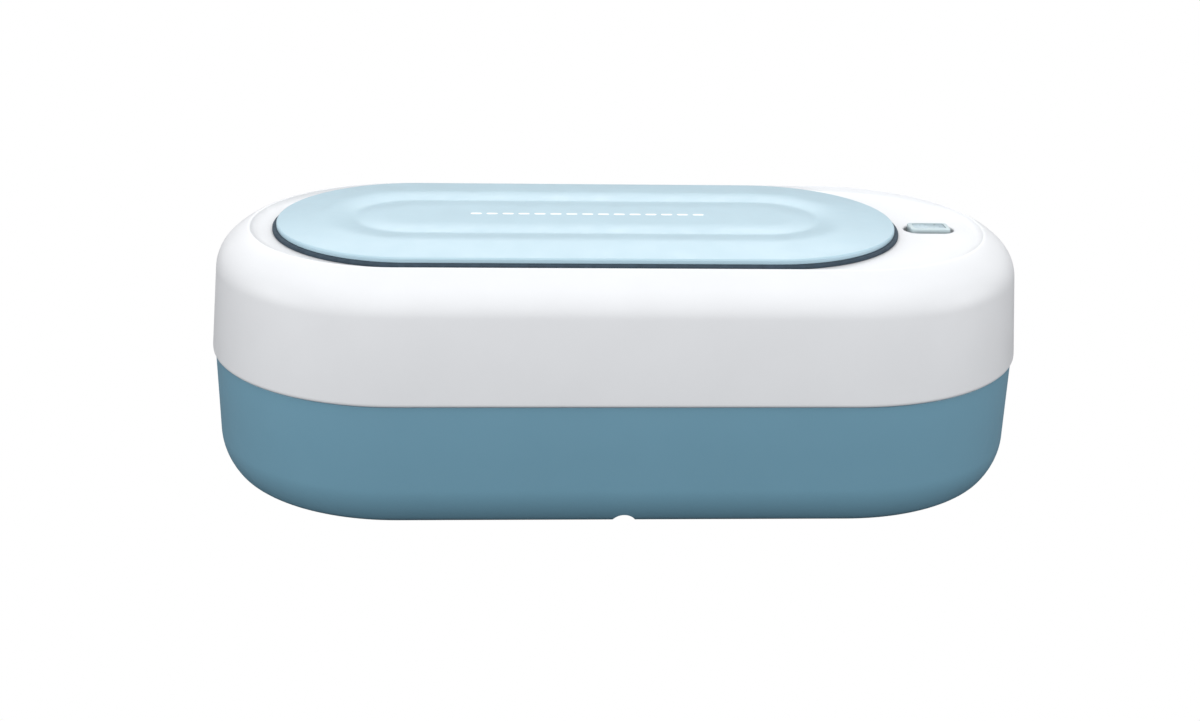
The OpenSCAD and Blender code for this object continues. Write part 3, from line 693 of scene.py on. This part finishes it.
def make_base_shell():
    """Shell with bosses, standoffs, screw and foot pockets, the inlet's opening and the notch."""
    obj = sweep("base_shell_body", base_section())
    rooted = FLOOR_Z - 0.6
    combine_posts(obj, "UNION", SCREW_PLACES, BASE_BOSS_R, rooted, POST_TOP)
    combine_posts(obj, "UNION", BOARD_PLACES, STANDOFF_R, rooted, board_low.z)
    inlet = rearward("inlet", SOCKET_X, SOCKET_Z, bar(INLET_BOSS_R, INLET_FACE, SOCKET_FACE))
    combine(obj, inlet, "UNION")
    combine_posts(obj, "DIFFERENCE", SCREW_PLACES, COUNTERBORE_R, -PAST, SCREW_SHELF_Z)
    combine_posts(obj, "DIFFERENCE", SCREW_PLACES, CLEARANCE_R, SCREW_SHELF_Z - PAST, POST_TOP + PAST)
    combine_posts(obj, "DIFFERENCE", FOOT_PLACES, FOOT_SIZE / 2 + SLIP, 0, foot_high.z)
    combine_posts(obj, "DIFFERENCE", BOARD_PLACES, BOARD_PILOT_R, RECESS_Z + WALL / 2, board_low.z + PAST)
    rim, lip = 0.4, BODY_R - 1.6
    pocket = [(0, SOCKET_FACE), (POCKET_R, SOCKET_FACE), (POCKET_R, lip)]
    pocket += [(POCKET_R + rim, lip + rim), (POCKET_R + rim, BODY_R + 4), (0, BODY_R + 4)]
    combine(obj, rearward("pocket", SOCKET_X, SOCKET_Z, pocket), "DIFFERENCE")
    hole = bar(SOCKET_R + SLIP, INLET_FACE - PAST, BODY_R)
    combine(obj, rearward("hole", SOCKET_X, SOCKET_Z, hole), "DIFFERENCE")
    notch = bar(NOTCH_R, -BODY_R - PAST, -RIM_R + 0.5)
    combine(obj, rearward("notch", 0, NOTCH_Z, notch, 48), "DIFFERENCE")
    close_up(obj)
    return dress(obj, "base", BLUE, ["base_shell"])


# ---------------------------------------------------------------- lid, its seal and its print

# The flat field ends at FIELD_R, the groove is deepest at GROOVE_R, and the ring's top is at RING_R
FIELD_R = 8
GROOVE_R = 16.8
GROOVE_DEPTH = 0.7
RING_R = 24
RING_ROUND = 29
LID_SLOPE = 5
EDGE_R = 0.6
LID_BOTTOM = seal_high.z
# Outside the ring the lid slopes down to its rounded edge
SLOPE_START = RING_R + RING_ROUND * math.sin(math.radians(LID_SLOPE))
SLOPE_END = LID_R - EDGE_R * (1 - math.sin(math.radians(LID_SLOPE)))
SLOPE_FALL = (SLOPE_END - SLOPE_START) * math.tan(math.radians(LID_SLOPE))
EDGE_TOP = TOP_Z - RING_ROUND * (1 - math.cos(math.radians(LID_SLOPE))) - SLOPE_FALL
EDGE_Z = EDGE_TOP - EDGE_R * math.cos(math.radians(LID_SLOPE))
# Underneath, a rim and a skirt hang from the plate
LID_UNDER = TOP_Z - 2.35
RIM_WALL = 2.3
SKIRT_R = 32.2
SKIRT_WALL = 1.6
SEAL_WIDTH = 2.9


def groove_dip(r):
    """Drop of the lid's top at a distance from the spine, blurred so that no crease shows."""
    def sharp(q):
        if q <= FIELD_R or q >= RING_R:
            return 0
        if q < GROOVE_R:
            return ((q - FIELD_R) / (GROOVE_R - FIELD_R)) ** 1.9
        return ((RING_R - q) / (RING_R - GROOVE_R)) ** 1.7
    blur, restored = 1.1, 1.12
    samples = [sharp(r + blur * (k / 6)) for k in range(-6, 7)]
    return GROOVE_DEPTH * sum(samples) / len(samples) * restored


def lid_section():
    """Outline from the raised field out to the rim, then back along the underside."""
    steps = 34
    top = [(0, TOP_Z), (FIELD_R - 2, TOP_Z)]
    for i in range(1, steps):
        r = FIELD_R - 2 + (RING_R - FIELD_R + 2) * i / steps
        top.append((r, TOP_Z - groove_dip(r)))
    top += arc(RING_R, TOP_Z - RING_ROUND, RING_ROUND, 90, 90 - LID_SLOPE, 8)
    top += arc(LID_R - EDGE_R, EDGE_Z, EDGE_R, 90 - LID_SLOPE, 0, 12)
    rim_in, skirt_in = LID_R - RIM_WALL, SKIRT_R - SKIRT_WALL
    under = rounded([
        (LID_R, EDGE_Z - 0.4), (LID_R, LID_BOTTOM, 0.15), (rim_in, LID_BOTTOM, 0.1),
        (rim_in, LID_UNDER, 0.1), (SKIRT_R, LID_UNDER, 0.8), (SKIRT_R, lid_low.z, 0.5),
        (skirt_in, lid_low.z, 0.5), (skirt_in, LID_UNDER, 0.8), (0, LID_UNDER),
    ])
    return on(TANK, top + under)


def make_lid():
    """Lid plate with its rim and the skirt that drops into the tank."""
    return dress(sweep("lid_cover_shell", lid_section()), "lid", PALE, ["lid_cover"])


def make_seal():
    """Soft flat ring with rounded edges under the lid's rim."""
    outer, inner = seal_high.y, seal_high.y - SEAL_WIDTH
    outline = rounded([
        (outer - 0.6, DECK_Z), (outer, DECK_Z, 0.2), (outer, LID_BOTTOM, 0.5), (inner, LID_BOTTOM, 0.2),
        (inner, DECK_Z, 0.35), (inner + 0.6, DECK_Z),
    ])
    obj = sweep("lid_seal_ring", on(TANK, outline), closed=True)
    # Its dark rubber colour also stands in for the shade in the gap under the lid's edge.
    return dress(obj, "lid", SEAL_AND_GAP_SHADE, ["lid_seal"])


def make_lid_print():
    """A plain row of white printed dashes along the middle of the lid."""
    length, count, gap, width = 67.5, 15, 1.3, 1.5
    set_back, ink, sunk = 0.8, 0.03, 0.02
    dash = (length - gap * (count - 1)) / count
    size = (dash, width, width * 0.48)
    bm = bmesh.new()
    for i in range(count):
        x = TANK.middle - length / 2 + dash / 2 + i * (dash + gap)
        add_loft(bm, (x, set_back), [size + (TOP_Z - sunk,), size + (TOP_Z + ink,)], 6)
    return dress(new_object("lid_print_dashes", bm), "lid", PRINT)


# ---------------------------------------------------------------- tank

def make_tank():
    """Drawn tub: flat floor, round corner, tapered wall and a rolled flange, all of one sheet."""
    sheet, taper, corner, bend = 0.8, 0.8, 10, 1.5
    mouth = FLANGE_R - 3 - sheet
    corner_x, corner_z = mouth - taper - corner, tank_low.z + sheet + corner
    bend_x, bend_z = mouth + bend, DECK_Z - bend
    points = [(0, tank_low.z + sheet)]
    points += arc(corner_x, corner_z, corner, -90, 1.2, 16)
    points += arc(bend_x, bend_z, bend, 181.2, 90, 10)
    points += rounded([
        (bend_x + 0.5, DECK_Z), (FLANGE_R, DECK_Z, 0.3), (FLANGE_R, DECK_Z - sheet, 0.3),
        (bend_x + 0.5, DECK_Z - sheet),
    ])
    points += arc(bend_x, bend_z, bend - sheet, 90, 181.2, 8)
    points += arc(corner_x, corner_z, corner + sheet, 1.2, -90, 16)
    points += [(0, tank_low.z)]
    return dress(sweep("tank_tub", on(TANK, points)), "base", STEEL, ["tank"])


# ---------------------------------------------------------------- button

def make_button():
    """Cap with a soft edge, a window let into its top, a retaining flange and a stem."""
    length, width, corner = CAP_SIZE
    middle = (WELL.middle, 0)
    top = cap_high.z
    stop, flange, edge, steps = PAD_Z - 0.2, 2.2, 0.4, 7
    wide = (length + flange, width + flange, corner)
    rings = [wide + (stop - 1,), wide + (stop,), CAP_SIZE + (stop + 0.01,), CAP_SIZE + (top - 0.9,)]
    for step in range(1, steps + 1):
        turn = math.radians(90 * step / steps)
        inset = edge * (1 - math.cos(turn))
        z = top - edge + edge * math.sin(turn)
        rings.append((length - 2 * inset, width - 2 * inset, corner - inset * 0.8, z))
    obj = loft("button_cap_body", middle, rings)
    stem_r = 1.7
    combine_posts(obj, "UNION", [middle], stem_r, cap_low.z, stop - 0.5)
    pocket = (9.4, 5.0, 0.9)
    cutter = loft("pocket", middle, [pocket + (top - 0.35,), pocket + (top + PAST,)])
    combine(obj, cutter, "DIFFERENCE")
    dress(obj, "button", CAP, ["button_cap"])
    gap, bevel = 0.1, 0.3
    outer = (pocket[0] - gap, pocket[1] - gap, 0.85)
    inner = (outer[0] - bevel, outer[1] - bevel, 0.7)
    levels = [outer + (top - 0.34,), outer + (top - 0.18,), inner + (top - 0.1,)]
    dress(loft("button_window", middle, levels), "button", WINDOW)


SPRING_WIRE = 0.3
SPRING_TURNS = 5


def make_plunger_spring():
    """Round-wire coil that fills the spring's place."""
    low, high = box_mm("plunger_spring")
    centre = (low + high) / 2
    coil_r = (high.x - low.x) / 2 - SPRING_WIRE / 2
    rise = high.z - low.z - SPRING_WIRE
    sides, around = 40, 12
    steps = sides * SPRING_TURNS
    bm = bmesh.new()
    rings = []
    for i in range(steps + 1):
        turn = 2 * math.pi * i / sides
        outward = Vector((math.cos(turn), math.sin(turn), 0))
        height = low.z + SPRING_WIRE / 2 + rise * i / steps
        middle = Vector((centre.x, centre.y, height)) + outward * coil_r
        ring = []
        for k in range(around):
            a = 2 * math.pi * k / around
            reach = (outward * math.cos(a) + Vector((0, 0, math.sin(a)))) * SPRING_WIRE / 2
            ring.append(bm.verts.new((middle + reach) * MM))
        rings.append(ring)
    skin(bm, rings)
    bm.faces.new(rings[0])
    bm.faces.new(rings[-1])
    coil = new_object("plunger_spring_coil", bm)
    dress(coil, "base", SPRING, ["plunger_spring"])
    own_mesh(coil)


# ---------------------------------------------------------------- feet and power inlet

def make_feet():
    """Rubber pads with a rounded edge and a shallow dimple in their base."""
    top, radius, dimple = foot_high.z, FOOT_SIZE / 2, 0.35
    outline = [(0, dimple), (2.2, dimple)] + rounded([
        (2.4, dimple), (2.8, 0, 0.3), (radius - 0.4, 0, 0.5), (radius, 0.7, 0.5),
        (radius, top - 0.2, 0.1), (radius - 0.2, top), (0, top),
    ])
    feet = [lathe("rubber_feet_pads", outline, (x, y, 0)) for x, y in FOOT_PLACES]
    bm = bmesh.new()
    for foot in feet:
        bm.from_mesh(foot.data)
        bpy.data.objects.remove(foot)
    return dress(new_object("rubber_feet_pads", bm), "base", FOOT, ["rubber_feet"])


def make_power_socket():
    """Barrel inlet with a bevelled flange, a lead-in to its bore and a centre pin."""
    face, back = socket_high.y, SOCKET_FACE - 12
    flange, bore, pin = 6, 2.8, 1.0
    bottom, tip = face - 10, face - 0.8
    outline = [(0, back)] + rounded([
        (SOCKET_R - 1, back), (SOCKET_R, back, 0.3), (SOCKET_R, SOCKET_FACE, 0.1),
        (flange, SOCKET_FACE, 0.2), (flange, face, 0.5), (bore + 0.5, face, 0.3), (bore, face - 0.6),
        (bore, bottom, 0.2), (pin, bottom, 0.2), (pin, tip - 0.4, 0.3), (pin - 0.6, tip),
    ]) + [(0, tip)]
    obj = rearward("power_socket_body", SOCKET_X, SOCKET_Z, outline)
    tab_size, tab_half = (1.2, 4, 0.2), 1.7
    for side in (-1, 1):
        tab = loft("tab", (SOCKET_X + side * 1.8, back - 1), [
            tab_size + (SOCKET_Z - tab_half,), tab_size + (SOCKET_Z + tab_half,),
        ])
        combine(obj, tab, "UNION")
    return dress(obj, "base", BLACK, ["power_socket"])


# ---------------------------------------------------------------- nodes that keep their CAD shape

NODE_FINISHES = {
    "tank_gasket": GASKET, "coupling_plate": ALUMINIUM, "piezo_disc": PIEZO, "switch_plunger": BLACK,
    "switch_body": BLACK, "switch_board": circuit_board("switch_board_mask"),
    "switch_screws": ZINC, "indicator_led": LENS, "driver_board": circuit_board("driver_board_mask"),
    "board_screws": ZINC, "transformer_core": FERRITE,
    "transformer_winding": wound_copper("winding_copper"), "bulk_capacitors": SLEEVE,
    "film_capacitors": EPOXY, "power_transistors": BLACK, "heat_sink": ALUMINIUM,
    "control_chip": BLACK, "board_headers": NYLON, "socket_nut": ZINC, "power_leads": RED_WIRE,
    "transducer_leads": ORANGE_WIRE, "switch_cable": GREY_WIRE, "housing_screws": ZINC,
}


def paint_nodes():
    """Gives each node that keeps its CAD shape its finish."""
    for node, material in NODE_FINISHES.items():
        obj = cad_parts[node]
        for held in obj.material_slots:
            held.material = material


# ---------------------------------------------------------------- studio

FLOOR_BOUNCE = 0.14


def make_floor():
    """Seamless white to the camera, and a dimmer table to the light, which shades the underside."""
    bm = bmesh.new()
    bmesh.ops.create_grid(bm, x_segments=1, y_segments=1, size=6)
    floor = new_object("floor", bm)
    shader = Shader("white_table").set(Roughness=0.9, Specular_IOR_Level=0.0)
    shader.paint(shader.noise(8, 2), (FLOOR_BOUNCE, FLOOR_BOUNCE, FLOOR_BOUNCE * 1.03, 1), 0.02)
    glow = shader.nodes.new("ShaderNodeEmission")
    path = shader.nodes.new("ShaderNodeLightPath")
    mix = shader.nodes.new("ShaderNodeMixShader")
    shader.links.new(path.outputs["Is Camera Ray"], mix.inputs["Fac"])
    shader.links.new(shader.surface.outputs["BSDF"], mix.inputs[1])
    shader.links.new(glow.outputs["Emission"], mix.inputs[2])
    shader.links.new(mix.outputs["Shader"], shader.nodes["Material Output"].inputs["Surface"])
    floor.data.materials.append(shader.material)


def area_light(name, place, target, size, power):
    """A soft white panel that faces its target. Places and sizes are in metres, power in watts."""
    data = bpy.data.lights.new(name, "AREA")
    data.shape = "RECTANGLE"
    data.size, data.size_y = size
    data.energy = power
    obj = bpy.data.objects.new(name, data)
    obj.location = place
    obj.rotation_mode = "QUATERNION"
    obj.rotation_quaternion = (Vector(target) - Vector(place)).to_track_quat("-Z", "Y")
    bpy.context.scene.collection.objects.link(obj)


def make_lights():
    """A white room, two broad panels in front and above, two low at the sides and a sheen behind."""
    world = bpy.data.worlds.new("white_room")
    world.use_nodes = True
    background = world.node_tree.nodes["Background"]
    background.inputs["Color"].default_value = (1, 1, 1, 1)
    background.inputs["Strength"].default_value = 0.48
    bpy.context.scene.world = world
    area_light("overhead", (0, -0.45, 1.25), (0, 0, 0.05), (1.8, 1.2), 8.6)
    area_light("front_fill", (-0.2, -1.5, 0.75), (0, 0, 0.03), (1.8, 1.0), 9.6)
    for side in (-1, 1):
        area_light("side_fill", (side * 1.5, -0.35, 0.3), (0, 0, 0.04), (1.0, 0.5), 5)
    area_light("back_sheen", (0, 1.15, 0.88), (0, 0, 0.05), (2.0, 0.5), 9)


def make_camera():
    """Looks down at the front from a little left of the middle, with a slight roll and shifted framing."""
    elevation, azimuth, roll = math.radians(19.66), math.radians(3.79), math.radians(1.41)
    distance = 0.55
    target = Vector((0, 0, 0.0375))
    level = math.cos(elevation)
    back = Vector((-math.sin(azimuth) * level, -math.cos(azimuth) * level, math.sin(elevation)))
    data = bpy.data.cameras.new("camera")
    data.sensor_width = 36
    data.lens = 55.78
    data.shift_x = -0.0138
    data.shift_y = -0.0194
    data.clip_start = 0.05
    data.clip_end = 50
    camera = bpy.data.objects.new("camera", data)
    camera.location = target + back * distance
    camera.rotation_mode = "QUATERNION"
    look = (-back).to_track_quat("-Z", "Y")
    camera.rotation_quaternion = look @ Matrix.Rotation(roll, 3, "Z").to_quaternion()
    bpy.context.scene.collection.objects.link(camera)
    bpy.context.scene.camera = camera


make_top_housing()
make_base_shell()
make_lid()
make_seal()
make_lid_print()
make_tank()
make_button()
make_plunger_spring()
make_feet()
make_power_socket()
paint_nodes()
make_floor()
make_lights()
make_camera()
bpy.context.scene.view_settings.view_transform = "Standard"
